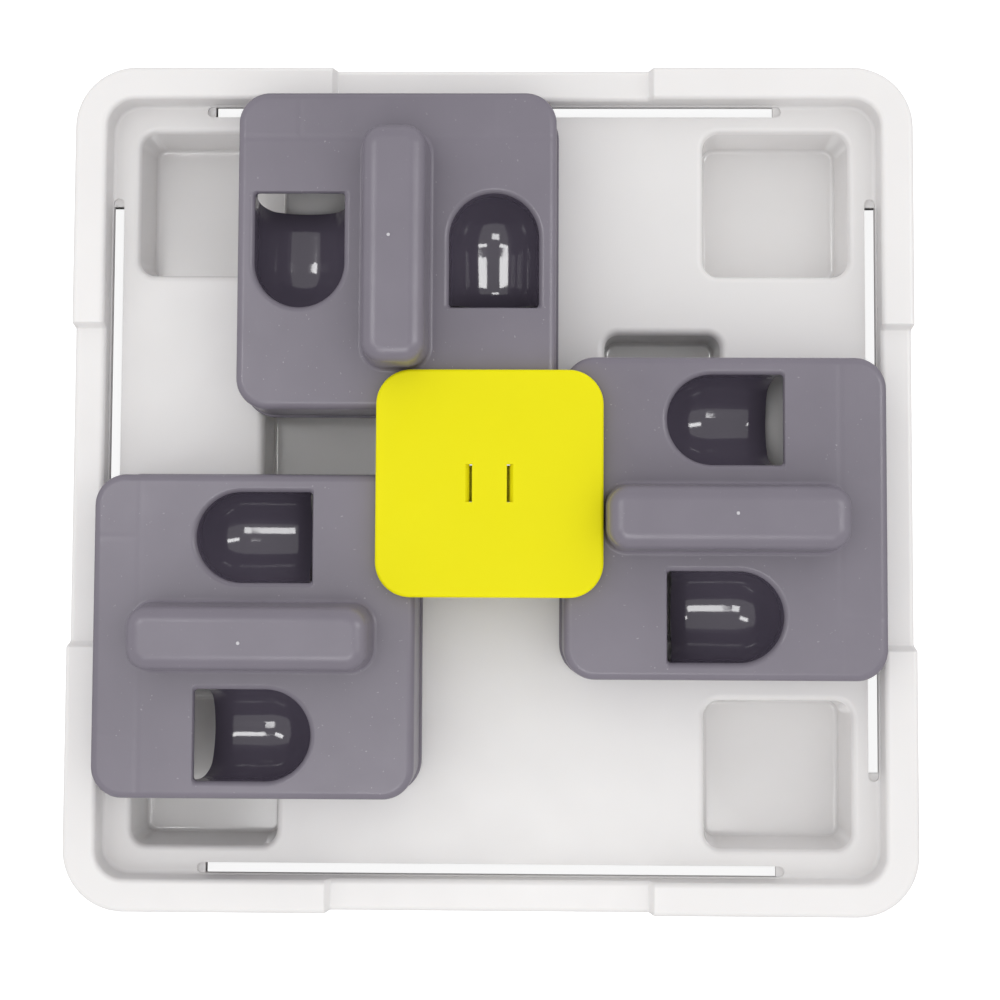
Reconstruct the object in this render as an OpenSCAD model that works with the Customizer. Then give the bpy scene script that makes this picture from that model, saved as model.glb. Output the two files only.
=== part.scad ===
// Sliding treat puzzle for dogs. Three identical sliders run round a square tray and hide the treat
// compartments in its floor. A lid on the middle post holds their inner edges down, and a hooked foot in
// a side slot holds each outer edge. Millimetres. The origin is on the table, under the tray's centre,
// +Z is up and +Y is the far side. Each slider is drawn at rest where it stands in its track.

/* [Tray] */
// Width of the tray over its corner rims
tray_w = 250; // [246:1:256]
// Outer corner radius of the tray
tray_r = 18; // [16:1:21]
// Width of the rim, from its outer face to the basin wall
rim_w = 9.6; // [9.2:0.1:10.4]
// Height of the basin floor above the table
floor_z = 24.5; // [24:0.5:28]
// Height of the corner rims above the basin floor
rim_rise = 10; // [9:0.5:13]
// How much lower the rim is along the middle of each side
rim_dip = 3; // [1:0.5:4]
// Length of the lower middle stretch of the rim
rim_mid_len = 92.6; // [80:0.2:110]
// Wall thickness of the tray
tray_wall = 2.2; // [1.8:0.1:2.4]

/* [Compartments and wells] */
// Width of a corner compartment at its mouth
cup_w = 46; // [40:0.5:46.5]
// Depth of the compartments and wells below the basin floor
cup_depth = 18.5; // [14:0.5:19]
// Corner radius of a compartment at its mouth
cup_r = 6; // [5:0.5:9]
// Width of a centre well at its mouth
well_w = 37; // [30:0.1:37.4]
// Length of a centre well at its mouth
well_len = 93.8; // [80:0.2:94]
// Distance of a well's middle from the tray's centre
well_x = 51.2; // [50:0.1:52]

/* [Slots] */
// Width of the slot at the foot of each wall
slot_w = 3.1; // [3:0.1:3.6]
// Length of each slot
slot_len = 174; // [172:1:178]

/* [Sliders] */
// Width of a slider over its bottom flange
slider_w = 94.3; // [93:0.1:94.8]
// Height of the slider's top plate above the basin floor
plate_rise = 25; // [24:0.5:28]
// Corner radius of the top plate
plate_r = 9; // [8:0.5:12]
// Length of the grip bar at its foot
bar_len = 69; // [60:0.5:69]
// Width of the grip bar at its foot
bar_w = 19.2; // [16:0.2:20]
// Height of the grip bar above the top plate
bar_rise = 15; // [12:0.5:18]
// Width of a scoop, twice the radius of its trough
scoop_w = 26; // [24:0.2:26.4]
// Depth of a scoop's upright wall, down to where its round bottom starts
scoop_drop = 7.5; // [4:0.5:7.5]
// Length of a scoop from its round end to its straight edge
scoop_len = 33.3; // [31:0.1:36]
// Distance of a scoop's middle line from the slider's centre
scoop_offset = 28.2; // [27.8:0.1:28.4]
// How far the trough's mouth leans back from the straight edge
mouth_lean = 3.2; // [2:0.2:5]
// Width of the hooked foot that runs in the slot
hook_w = 34; // [24:1:34]

/* [Where the sliders stand] */
// Left slider, along Y from the tray's centre
left_rest = -43.9; // [-67:0.1:-28]
// Right slider, along Y from the tray's centre
right_rest = -9.6; // [-67:0.1:67]

/* [Lid] */
// Width of the centre lid
lid_w = 65; // [58:0.5:65]
// Corner radius of the lid
lid_r = 10; // [8:0.5:14]
// Thickness of the lid at its edge
lid_edge = 3.3; // [3:0.1:4]
// Length of each slit in the lid
slit_len = 10.8; // [8:0.2:11.2]
// Width of each slit in the lid
slit_w = 1.9; // [1.6:0.1:2]
// Distance of a slit's middle from the lid's centre
slit_x = 5.9; // [5.6:0.1:6.2]

/* [Feet] */
// Diameter of a rubber foot pad
pad_d = 20; // [16:0.5:22]

/* [Hidden] */
$fn = 48;
fine = 72;
over = 1;

// Rounding, drafts and clearances
edge_r = 1.5;
cup_lip_r = 1.1;
cup_draft = 1.3;
cup_floor_r = 1.1;
plate_edge_r = 2.3;
bar_edge_r = 3.5;
bar_foot_r = 1.2;
lid_edge_r = 1.2;
glide = 0.3;
track_gap = 0.75;
slider_gap = 0.5;
arc_steps = [0 : 22.5 : 90];

// Tray
tray_half = tray_w / 2;
wall_face = tray_half - rim_w;
basin_r = tray_r - rim_w;
rim_z = floor_z + rim_rise;
skirt_z = 1.5;
skirt_draft = 2.2;
under_z = floor_z - tray_wall;
channel_z = rim_z - rim_dip - tray_wall;
proud = 0.5;
ramp = 1.7;
slot_ledge = 0.3;
slot_x = wall_face - slot_ledge - slot_w / 2;
rib_t = 2;
rib_in = 4;
rib_bite = 0.3;
floor_rib_h = 5;
floor_rib_x = 24;
floor_rib_y = 55;

// Compartments, wells and what holds the feet
cup_wall = 2;
cup_margin = 7.15;
cup_x = wall_face - cup_margin - cup_w / 2;
well_r = 4.5;
cup_floor_z = floor_z - cup_depth;
pad_top = cup_floor_z - cup_wall;
pad_ring_wall = 2;
pad_ring_drop = 1.7;
pad_chamfer = 0.6;

// Sliders: heights are above the basin floor
slider_half = slider_w / 2;
flange_h = 2;
flange_out = 0.7;
skirt_slope = 0.2;
plate_t = 2.2;
slider_wall = 2.2;
cavity_out = flange_out + skirt_slope + slider_wall;
track = wall_face - track_gap - slider_half;
top_rest = track - slider_w - slider_gap;
bar_r = 6.5;
bar_draft = 0.7;
bar_wall = 2.4;
scoop_r = scoop_w / 2;
scoop_wall = 2;
scoop_axis_z = plate_rise - scoop_drop;
scoop_edge_x = scoop_len / 2;
scoop_round_x = scoop_r - scoop_len / 2;
scoop_low_z = scoop_axis_z - scoop_r - scoop_wall;
rib_x = 32.8;
rib_thin = 1.6;
rib_h = 4;

// Hooked foot, in the slider's own frame
hook_in = slider_half - 2.25;
hook_out = slider_half - 0.05;
toe_out = 2.4;
toe_gap = 0.4;
toe_t = 2.6;

// Post and lid
post_half = 17;
post_r = 4;
post_draft = 0.3;
post_wall = 2.2;
post_cap = 2.5;
lid_gap = 0.7;
lid_low_z = floor_z + plate_rise + lid_gap;
lid_plate_t = 2.4;
lid_top_z = lid_low_z + lid_edge;
post_z = lid_top_z - lid_plate_t;
lid_lip = 1.6;
collar_gap = 0.2;
collar_wall = 1.8;
collar_h = 3.5;
stem_t = 2;
stem_out = slit_x - slit_w / 2;
barb_out = 1.5;
barb_h = 2.5;
window_gap = 0.2;

// [inset, z] points of an outside edge that turns from a wall at inset d to a top at height z
function edge_round(d, z, r) = [for (a = arc_steps) [d + r * (1 - cos(a)), z - r * (1 - sin(a))]];

// [inset, z] points of a hollow's foot, from its floor at height z out to its wall at inset d
function foot_round(d, z, r) = [for (a = arc_steps) [d + r * (1 - sin(a)), z + r * (1 - cos(a))]];

// [inset, z] points of a raised part's foot, from the plane at height z in to its wall at inset d
function flare_round(d, z, r) = [for (a = arc_steps) [d - r * (1 - sin(a)), z + r * (1 - cos(a))]];

// [inset, z] points of a hollow's mouth, from its wall at inset d out to the plane above at height z
function lip_round(d, z, r) = [for (a = arc_steps) [d - r * (1 - cos(a)), z - r * (1 - sin(a))]];

// Box with rounded corners, whose side follows [inset, z] points from the bottom to the top
module shaped_box(half_x, half_y, r, side) {
    low = side[0][1];
    high = side[len(side) - 1][1];
    // End band along X and along Y, each the full width of the box
    for (turn = [0, 90]) {
        across = turn == 0 ? half_x : half_y;
        along = turn == 0 ? half_y : half_x;
        right = [for (p = side) [across - p[0], p[1]]];
        left = [for (i = [len(side) - 1 : -1 : 0]) [side[i][0] - across, side[i][1]]];
        rotate([90, 0, turn])
            linear_extrude(height = 2 * (along - r), center = true)
                polygon(concat(right, left));
    }
    // Quarter turn of the same side at each corner
    for (turn = [0 : 90 : 270]) {
        x = (turn == 0 || turn == 270 ? 1 : -1) * (half_x - r);
        y = (turn < 180 ? 1 : -1) * (half_y - r);
        translate([x, y, 0])
            rotate(turn)
                rotate_extrude(angle = 90)
                    polygon(concat([[0, low]], [for (p = side) [r - p[0], p[1]]], [[0, high]]));
    }
}

module centred_box(size) {
    translate([-size[0] / 2, -size[1] / 2, 0])
        cube(size);
}

// Children on each of the tray's four sides, drawn for the +X side
module on_sides() {
    for (turn = [0 : 90 : 270])
        rotate(turn)
            children();
}

// Hollow of a compartment or well, with its mouth in the basin floor
module hollow(half_x, half_y, r) {
    wall = cup_lip_r + cup_draft;
    side = concat(
        foot_round(wall, cup_floor_z, cup_floor_r),
        lip_round(cup_lip_r, floor_z, cup_lip_r),
        [[0, floor_z + over]]
    );
    shaped_box(half_x, half_y, r, side);
}

// Plastic round that hollow, under the basin floor
module hollow_shell(half_x, half_y, r) {
    wall = cup_lip_r + cup_draft;
    side = [
        [wall + cup_wall / 2, pad_top],
        [wall, pad_top + cup_wall / 2],
        [cup_lip_r, floor_z - over]
    ];
    shaped_box(half_x + cup_wall, half_y + cup_wall, r + cup_wall, side);
}

module each_hollow(shell) {
    for (x = [-cup_x, cup_x], y = [-cup_x, cup_x])
        translate([x, y, 0]) {
            if (shell) hollow_shell(cup_w / 2, cup_w / 2, cup_r);
            else hollow(cup_w / 2, cup_w / 2, cup_r);
        }
    for (x = [-well_x, well_x])
        translate([x, 0, 0]) {
            if (shell) hollow_shell(well_w / 2, well_len / 2, well_r);
            else hollow(well_w / 2, well_len / 2, well_r);
        }
}

// Outside of the tray, with the rim's outer edge rounded
module tray_block() {
    side = concat([[skirt_draft, skirt_z]], edge_round(0, rim_z, edge_r));
    shaped_box(tray_half, tray_half, tray_r, side);
}

// Space above the floor, inside the rim
module basin() {
    side = concat([[0, floor_z]], lip_round(0, rim_z, edge_r), [[-edge_r, rim_z + over]]);
    shaped_box(wall_face, wall_face, basin_r, side);
}

// Space under the floor, and the channel under the rim
module underside() {
    inner_half = tray_half - tray_wall;
    inner_r = tray_r - tray_wall;
    rim_in = wall_face + tray_wall;
    side = [[skirt_draft, skirt_z - over], [skirt_draft, skirt_z], [skirt_draft / 3, under_z]];
    shaped_box(inner_half, inner_half, inner_r, side);
    difference() {
        shaped_box(inner_half, inner_half, inner_r, [[skirt_draft / 2, under_z - over], [edge_r, channel_z]]);
        shaped_box(rim_in, rim_in, basin_r + tray_wall, [[0, under_z - 2 * over], [0, channel_z + over]]);
    }
}

// What the lower, set-back middle stretch of one rim side leaves out, on the +X side
module rim_cut() {
    half = rim_mid_len / 2;
    dip_z = rim_z - rim_dip;
    translate([wall_face - 2 * edge_r, 0, 0])
        rotate([90, 0, 90])
            linear_extrude(height = rim_w + 3 * edge_r)
                polygon([
                    [-half, dip_z], [half, dip_z],
                    [half + ramp, rim_z + over], [-half - ramp, rim_z + over]
                ]);
    rotate([90, 0, 0])
        linear_extrude(height = rim_mid_len + ramp, center = true)
            polygon([
                [tray_half - proud, rim_z + over], [tray_half + over, rim_z + over],
                [tray_half + over, 0], [tray_half - proud - skirt_draft, 0]
            ]);
}

// Slot through the floor at the foot of the +X wall, with round ends
module slot_cut() {
    reach = (slot_len - slot_w) / 2;
    translate([0, 0, under_z - over]) {
        translate([slot_x - slot_w / 2, -reach, 0])
            cube([slot_w, 2 * reach, tray_wall + 2 * over]);
        for (y = [-reach, reach])
            translate([slot_x, y, 0])
                cylinder(d = slot_w, h = tray_wall + 2 * over);
    }
}

// Two cross ribs under the +X side, one past each end of the slot
module slot_ribs() {
    low = pad_top + cup_wall;
    from_x = cup_x + cup_w / 2 - rib_in + cup_wall;
    to_x = tray_half - skirt_draft - rib_bite;
    for (side = [-1, 1])
        translate([from_x, side * (slot_len / 2 + rib_t) - rib_t / 2, low])
            cube([to_x - from_x, rib_t, under_z - low + over]);
}

// Low crossed ribs that stiffen the floor from below
module floor_ribs() {
    reach = slot_x - slot_w / 2 - rib_t;
    low = under_z - floor_rib_h;
    for (side = [-1, 1]) {
        translate([side * floor_rib_x - rib_t / 2, -reach, low])
            cube([rib_t, 2 * reach, floor_rib_h + over]);
        translate([-reach, side * floor_rib_y - rib_t / 2, low])
            cube([2 * reach, rib_t, floor_rib_h + over]);
    }
}

module post() {
    side = [[0, floor_z - over], [post_draft, post_z]];
    shaped_box(post_half, post_half, post_r, side);
}

module post_hollow() {
    inside = post_half - post_wall;
    side = [[0, under_z - over], [post_draft, post_z - post_cap]];
    shaped_box(inside, inside, post_r - post_wall, side);
    // Window that the lid's hooks snap through
    translate([0, 0, post_z - post_cap - over])
        centred_box([2 * (stem_out + window_gap), slit_len + 2 * window_gap, post_cap + 2 * over]);
}

// Rings under the corner compartments that locate the foot pads
module pad_rings() {
    for (x = [-cup_x, cup_x], y = [-cup_x, cup_x])
        translate([x, y, pad_top - pad_ring_drop])
            difference() {
                cylinder(d = pad_d + 2 * (glide + pad_ring_wall), h = pad_ring_drop + cup_wall / 2, $fn = fine);
                translate([0, 0, -over])
                    cylinder(d = pad_d + 2 * glide, h = pad_ring_drop + over, $fn = fine);
            }
}

module base_tray() {
    color("whitesmoke")
        difference() {
            union() {
                difference() {
                    tray_block();
                    basin();
                    underside();
                    on_sides() rim_cut();
                }
                each_hollow(true);
                on_sides() slot_ribs();
                floor_ribs();
                post();
                pad_rings();
            }
            each_hollow(false);
            post_hollow();
            on_sides() slot_cut();
        }
}

// Foot pad under the compartment at the corner [x sign, y sign]
module foot_pad(x_sign, y_sign) {
    color("dimgray")
        translate([x_sign * cup_x, y_sign * cup_x, 0]) {
            cylinder(d1 = pad_d - 2 * pad_chamfer, d2 = pad_d, h = pad_chamfer, $fn = fine);
            translate([0, 0, pad_chamfer])
                cylinder(d = pad_d, h = pad_top - pad_chamfer, $fn = fine);
        }
}

module foot_rear_left() {
    foot_pad(-1, 1);
}

module foot_rear_right() {
    foot_pad(1, 1);
}

module foot_front_left() {
    foot_pad(-1, -1);
}

module foot_front_right() {
    foot_pad(1, -1);
}

// The sliders are drawn in their own frame: the origin is on the basin floor under the plate's centre,
// +X points at the tray wall and the grip bar runs along X.

module slider_block() {
    wall = flange_out + skirt_slope;
    side = concat(
        [[0, glide], [0, flange_h], [flange_out, flange_h]],
        edge_round(wall, plate_rise, plate_edge_r)
    );
    shaped_box(slider_half, slider_half, plate_r + wall, side);
}

module slider_cavity() {
    inside = slider_half - cavity_out;
    side = [[0, glide - over], [0, plate_rise - plate_t - edge_r], [edge_r, plate_rise - plate_t]];
    shaped_box(inside, inside, plate_r - slider_wall, side);
}

module grip_bar() {
    side = concat(
        [[-bar_foot_r, plate_rise - over]],
        flare_round(0, plate_rise, bar_foot_r),
        edge_round(bar_draft, plate_rise + bar_rise, bar_edge_r)
    );
    shaped_box(bar_len / 2, bar_w / 2, bar_r, side);
}

module grip_bar_hollow() {
    top = plate_rise + bar_rise - bar_wall;
    side = [[0, plate_rise - plate_t - over], [bar_draft, top - edge_r], [bar_draft + edge_r, top]];
    shaped_box(bar_len / 2 - bar_wall, bar_w / 2 - bar_wall, bar_r - bar_wall, side);
}

// Trough with one round end, grown by extra on every side and running on along +X to end_x
module trough_form(extra, end_x, top_z) {
    r = scoop_r + extra;
    translate([scoop_round_x, 0, scoop_axis_z]) {
        sphere(r = r, $fn = fine);
        rotate([0, 90, 0])
            cylinder(r = r, h = end_x - scoop_round_x, $fn = fine);
        linear_extrude(height = top_z - scoop_axis_z) {
            circle(r = r, $fn = fine);
            translate([0, -r])
                square([end_x - scoop_round_x, 2 * r]);
        }
    }
}

// Everything on the round end's side of the leaning mouth plane
module mouth_side() {
    slope = mouth_lean / (plate_rise - scoop_low_z);
    low = scoop_low_z - over;
    rotate([90, 0, 0])
        linear_extrude(height = 2 * scoop_w, center = true)
            polygon([
                [-scoop_len, low],
                [scoop_edge_x - mouth_lean - slope * over, low],
                [scoop_edge_x, plate_rise],
                [-scoop_len, plate_rise]
            ]);
}

// Both scoops: the second is the first turned by half a turn about the slider's centre
module at_scoops() {
    for (turn = [0, 180])
        rotate(turn)
            translate([0, scoop_offset, 0])
                children();
}

module trough_shell() {
    intersection() {
        trough_form(scoop_wall, scoop_edge_x, plate_rise - plate_t / 2);
        mouth_side();
    }
}

// Stiffening ribs under the plate, beside the outer wall
module slider_ribs() {
    inside = slider_half - cavity_out;
    low = plate_rise - plate_t - rib_h;
    height = rib_h + plate_t / 2;
    translate([rib_x - rib_thin / 2, -inside - over, low])
        cube([rib_thin, 2 * (inside + over), height]);
    for (y = [-scoop_offset, scoop_offset])
        translate([rib_x, y - rib_thin / 2, low])
            cube([inside + over - rib_x, rib_thin, height]);
}

// Foot that hangs through the slot, with a toe that hooks outward under the floor
module hook() {
    toe_top = -tray_wall - toe_gap;
    toe_low = toe_top - toe_t;
    rotate([90, 0, 0])
        linear_extrude(height = hook_w, center = true)
            polygon([
                [hook_in, flange_h], [hook_out, flange_h],
                [hook_out, toe_top], [hook_out + toe_out, toe_top],
                [hook_out + toe_out, toe_top - toe_t / 3], [hook_out + toe_out / 2, toe_low],
                [hook_in, toe_low]
            ]);
}

module slider() {
    difference() {
        union() {
            difference() {
                slider_block();
                slider_cavity();
            }
            grip_bar();
            at_scoops() trough_shell();
            slider_ribs();
            hook();
        }
        grip_bar_hollow();
        at_scoops() trough_form(0, scoop_edge_x, plate_rise + over);
    }
}

module top_slider() {
    color("slategray")
        translate([top_rest, track, floor_z])
            rotate(90)
                slider();
}

module left_slider() {
    color("slategray")
        translate([-track, left_rest, floor_z])
            rotate(180)
                slider();
}

module right_slider() {
    color("slategray")
        translate([track, right_rest, floor_z])
            slider();
}

// Square plate with a rim that reaches down round its edge
module lid_plate() {
    half = lid_w / 2;
    difference() {
        shaped_box(half, half, lid_r, concat([[0, lid_low_z]], edge_round(0, lid_top_z, lid_edge_r)));
        shaped_box(
            half - lid_lip, half - lid_lip, lid_r - lid_lip,
            [[0, lid_low_z - over], [0, post_z]]
        );
    }
}

// Square collar that fits round the top of the post and keeps the lid from turning
module lid_collar() {
    inner = post_half + collar_gap;
    outer = inner + collar_wall;
    difference() {
        shaped_box(outer, outer, post_r + collar_wall, [[0, post_z - collar_h], [0, post_z + over]]);
        shaped_box(inner, inner, post_r, [[0, post_z - collar_h - over], [0, post_z]]);
    }
}

// Snap hook under one slit: a stem through the post's window and a barb under the post's cap
module snap_hook() {
    cap_low = post_z - post_cap - window_gap;
    rotate([90, 0, 0])
        linear_extrude(height = slit_len - 2 * window_gap, center = true)
            polygon([
                [stem_out - stem_t, post_z + over], [stem_out - stem_t, cap_low - barb_h],
                [stem_out, cap_low - barb_h], [stem_out + barb_out, cap_low - barb_h / 3],
                [stem_out + barb_out, cap_low], [stem_out, cap_low],
                [stem_out, post_z + over]
            ]);
}

module centre_lid() {
    color("yellow")
        difference() {
            union() {
                lid_plate();
                lid_collar();
                for (turn = [0, 180])
                    rotate(turn)
                        snap_hook();
            }
            for (x = [-slit_x, slit_x])
                translate([x, 0, post_z - over])
                    centred_box([slit_w, slit_len, lid_plate_t + 2 * over]);
        }
}

base_tray();
top_slider();
left_slider();
right_slider();
centre_lid();
foot_rear_left();
foot_rear_right();
foot_front_left();
foot_front_right();
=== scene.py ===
"""Looks of a sliding treat puzzle for dogs: a tray, three sliders, a centre lid and four foot pads.

Every shape is worked out in millimetres and scaled to metres when its mesh is stored.
"""
import math
from collections import namedtuple

import bmesh
import bpy
from mathutils import Matrix, Vector


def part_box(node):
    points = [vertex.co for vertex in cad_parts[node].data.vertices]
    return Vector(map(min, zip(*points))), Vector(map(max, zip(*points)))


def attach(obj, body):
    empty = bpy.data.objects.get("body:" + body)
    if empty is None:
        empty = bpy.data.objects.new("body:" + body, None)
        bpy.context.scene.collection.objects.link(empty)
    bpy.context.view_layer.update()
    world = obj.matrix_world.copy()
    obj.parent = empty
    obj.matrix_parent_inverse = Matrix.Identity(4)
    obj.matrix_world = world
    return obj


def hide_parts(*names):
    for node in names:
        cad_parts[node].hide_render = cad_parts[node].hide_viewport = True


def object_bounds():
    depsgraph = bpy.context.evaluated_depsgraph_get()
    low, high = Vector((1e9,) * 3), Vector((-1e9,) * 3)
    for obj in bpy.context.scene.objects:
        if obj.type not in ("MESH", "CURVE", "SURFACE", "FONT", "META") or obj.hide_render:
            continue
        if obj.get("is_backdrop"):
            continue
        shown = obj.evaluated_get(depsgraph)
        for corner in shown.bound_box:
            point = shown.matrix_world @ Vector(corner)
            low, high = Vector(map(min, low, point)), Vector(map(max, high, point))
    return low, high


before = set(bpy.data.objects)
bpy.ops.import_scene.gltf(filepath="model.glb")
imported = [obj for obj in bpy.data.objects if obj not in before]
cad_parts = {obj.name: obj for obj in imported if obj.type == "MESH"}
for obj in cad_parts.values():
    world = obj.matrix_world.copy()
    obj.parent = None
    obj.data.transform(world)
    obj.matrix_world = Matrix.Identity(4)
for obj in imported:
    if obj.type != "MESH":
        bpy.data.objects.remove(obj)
cad_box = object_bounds()

MM = 0.001
OVER = 1.0
QUARTER = math.pi / 2
ARC_STEPS = 14
FILLET_STEPS = 7
CORNER_STEPS = 5
TROUGH_STEPS = 22
SHARP_ANGLE = math.radians(33)
NORMAL_WEIGHT = 90
MIN_CORNER_R = 0.05
RIB_OFFSET = 0.02


def box_mm(node):
    """Lowest and highest corners of a CAD node, in millimetres."""
    low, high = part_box(node)
    return [v / MM for v in low], [v / MM for v in high]


# Tray
TRAY_HALF = box_mm("base_tray")[1][0]
TRAY_R = 18.0
RIM_W = 9.6
RIM_Z = 34.5
RIM_DIP = 3.0
RIM_MIDDLE = 92.6
RIM_RAMP = 2.0
RIM_EDGE_R = 1.5
PROUD = 0.5
FLOOR_Z = 24.5
FLOOR_FOOT_R = 1.2
TRAY_WALL = 2.2
UNDER_Z = FLOOR_Z - TRAY_WALL
CHANNEL_Z = RIM_Z - RIM_DIP - TRAY_WALL
CHANNEL_IN = 3.7
SKIRT_Z = 1.5
SKIRT_DRAFT = 2.2
SKIRT_EDGE_R = 0.4
WALL_FACE = TRAY_HALF - RIM_W

# Compartments and wells: a wall stands back from the nominal width and rounds over into the lip
CUP_W = 46.0
CUP_R = 6.0
CUP_MARGIN = 7.15
CUP_X = WALL_FACE - CUP_MARGIN - CUP_W / 2
CUP_FLOOR_Z = 6.0
CUP_LIP_R = 2.0
CUP_DRAFT = 1.3
CUP_FOOT_R = 1.2
CUP_WALL = 2.0
WALL_BACK = 1.2
WELL_W = 37.0
WELL_LEN = 93.8
WELL_X = 51.2
WELL_R = 5.2
WELL_LIP_R = 2.5
WELL_DRAFT = 0.6
PAD_TOP = CUP_FLOOR_Z - CUP_WALL

# Slots and ribs
SLOT_W = 3.1
SLOT_LEN = 174.0
SLOT_LEDGE = 0.3
SLOT_STEP_LEN = 2.4
SLOT_STEP_DOWN = 0.9
SLOT_X = WALL_FACE - SLOT_LEDGE - SLOT_W / 2
RIB_T = 2.0
RIB_BITE = 0.3
FLOOR_RIB_H = 5.0
FLOOR_RIB_X = 24.0
FLOOR_RIB_Y = 55.0

# Sliders, in their own frame: the origin is on the basin floor under the plate's centre
SLIDER_HALF = 47.15
GLIDE = 0.3
FLANGE_H = 2.0
FLANGE_OUT = 0.7
SKIRT_SLOPE = 0.2
PLATE_RISE = 25.0
PLATE_R = 9.9
PLATE_EDGE_R = 2.3
PLATE_T = 2.2
SLIDER_WALL = 2.2
CAVITY_IN = FLANGE_OUT + SKIRT_SLOPE + SLIDER_WALL
TRACK = 67.5
BAR_LEN = 69.0
BAR_W = 19.2
BAR_R = 6.5
BAR_RISE = 15.0
BAR_DRAFT = 0.7
BAR_EDGE_DOWN = 3.4
BAR_EDGE_ACROSS = 4.4
BAR_FOOT_R = 1.2
BAR_WALL = 2.4
GATE_DOT_R = 0.5
GATE_DOT_X = 1.9
GATE_DOT_Y = 1.2
SCOOP_R = 13.0
SCOOP_LEN = 33.3
SCOOP_OFFSET = 28.2
SCOOP_DROP = 7.5
SCOOP_AXIS_Z = PLATE_RISE - SCOOP_DROP
SCOOP_LIP_R = 1.6
SCOOP_FLAT_LIP = 0.35
SCOOP_CORNER_R = 1.1
SCOOP_WALL = 2.0
SCOOP_EDGE_X = SCOOP_LEN / 2
SCOOP_ROUND_X = SCOOP_R - SCOOP_LEN / 2
MOUTH_LEAN = 3.2
SLOPE_LEN = 18.5
SLOPE_DROP = 0.35
BEND_LEN = 9.5
BEND_END = 2.5
BEND_DROP = 1.9
FLARE_END = 0.6
FLARE_STEPS = 20
FLARE_SHRINK = 0.02
TROUGH_FIRST = math.radians(1.5)
SINK_X = 32.8
SINK_T = 1.6
SINK_RIB_H = 4.0
SINK_LINE_W = 1.5
SINK_STRENGTH = 0.2
SINK_DEPTH = 0.0002
HOOK_W = 34.0
HOOK_IN = SLIDER_HALF - 2.25
HOOK_OUT = SLIDER_HALF - 0.05
TOE_OUT = 2.4
TOE_TOP = -TRAY_WALL - 0.4
TOE_T = 2.6

# Post and lid
CORE_DRAFT = 0.3
WINDOW_GAP_X = 0.1
WINDOW_GAP_Y = 0.2
LID_HALF = 32.5
LID_R = 10.0
LID_LOW_Z = FLOOR_Z + PLATE_RISE + 0.7
LID_TOP_Z = LID_LOW_Z + 3.3
LID_EDGE_R = 1.0
LID_LIP = 1.6
POST_Z = LID_TOP_Z - 2.4
POST_HALF = 17.0
POST_R = 4.0
POST_WALL = 2.2
POST_CAP = 2.5
COLLAR_GAP = 0.2
COLLAR_WALL = 1.8
COLLAR_H = 3.5
SLIT_X = 5.9
SLIT_W = 1.9
SLIT_LEN = 10.8
SLIT_GAP = 0.8
SLIT_LEAN = 1.5
STEM_T = 2.0
BARB_OUT = 1.5
BARB_H = 2.5

# Foot pads
PAD_R = 10.0
PAD_RING_GAP = 0.3
PAD_RING_WALL = 2.0
PAD_RING_DROP = 1.7

# Floor, light and camera. A glint has its direction, distance, size and radiance, in metres.
FLOOR_HALF = 3.0
FLOOR_GLOW = 0.9
TENT_SIDES = 1.5
TENT_TOP = 1.06
TENT_FADE = 0.6
FRAME_PIXELS = 1000
CAMERA_FOCAL_PIXELS = 1855.5
CAMERA_SHIFT_Y = -0.07
CAMERA_PLACE = (12.6, -17.2, 580.8)
CAMERA_TURN = (0.0613, 0.0180, 0.0046)
GLINTS = {
    "right_glint": ((0.75, 0.137, 1.0), 1.4, (0.20, 0.80), 15.0),
    "left_glint": ((-0.43, 0.137, 1.0), 1.4, (0.22, 0.54), 15.0),
    "front_glint": ((-0.03, -0.34, 1.0), 1.5, (0.50, 0.40), 13.0),
}

Hollow = namedtuple("Hollow", "x y half_x half_y corner lip draft")

# Turn of each slider about the vertical, and the frame axis that it slides along
SLIDERS = {
    "top_slider": (90, 0),
    "left_slider": (180, 1),
    "right_slider": (0, 1),
}
FEET = {
    "foot_rear_left": (-1, 1),
    "foot_rear_right": (1, 1),
    "foot_front_left": (-1, -1),
    "foot_front_right": (1, -1),
}


# ---------------------------------------------------------------- mesh helpers

def fillet(inset, z, down, way, across=None):
    """[inset, z] points of a quarter round, from low to high. Its way is edge, foot or lip."""
    across = across or down
    points = []
    for i in range(FILLET_STEPS + 1):
        a = QUARTER * i / FILLET_STEPS
        start, end = 1 - math.cos(a), 1 - math.sin(a)
        if way == "edge":
            points.append((inset + across * start, z - down * end))
        elif way == "foot":
            points.append((inset + across * end, z + down * start))
        else:
            points.append((inset - across * start, z - down * end))
    return points


def box_ring(half_x, half_y, radius, z):
    """Outline of a rounded rectangle at height z, counter-clockwise."""
    radius = max(radius, MIN_CORNER_R)
    ring = []
    for quarter in range(4):
        x = (half_x - radius) * (1 if quarter in (0, 3) else -1)
        y = (half_y - radius) * (1 if quarter < 2 else -1)
        for i in range(ARC_STEPS + 1):
            a = QUARTER * (quarter + i / ARC_STEPS)
            ring.append(Vector((x + radius * math.cos(a), y + radius * math.sin(a), z)))
    return ring


def loft(rings):
    """Closed mesh object through rings of points, from the lowest one's cap to the last one's."""
    mesh = bmesh.new()
    rows = [[mesh.verts.new(point) for point in ring] for ring in rings]
    count = len(rings[0])
    for low, high in zip(rows, rows[1:]):
        for i in range(count):
            j = (i + 1) % count
            mesh.faces.new((low[i], low[j], high[j], high[i]))
    mesh.faces.new(list(reversed(rows[0])))
    mesh.faces.new(rows[-1])
    return stored(mesh)


def stored(mesh):
    """The bmesh as a new object, still in millimetres."""
    bmesh.ops.recalc_face_normals(mesh, faces=mesh.faces)
    data = bpy.data.meshes.new("shape")
    mesh.to_mesh(data)
    mesh.free()
    made = bpy.data.objects.new("shape", data)
    bpy.context.scene.collection.objects.link(made)
    return made


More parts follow.
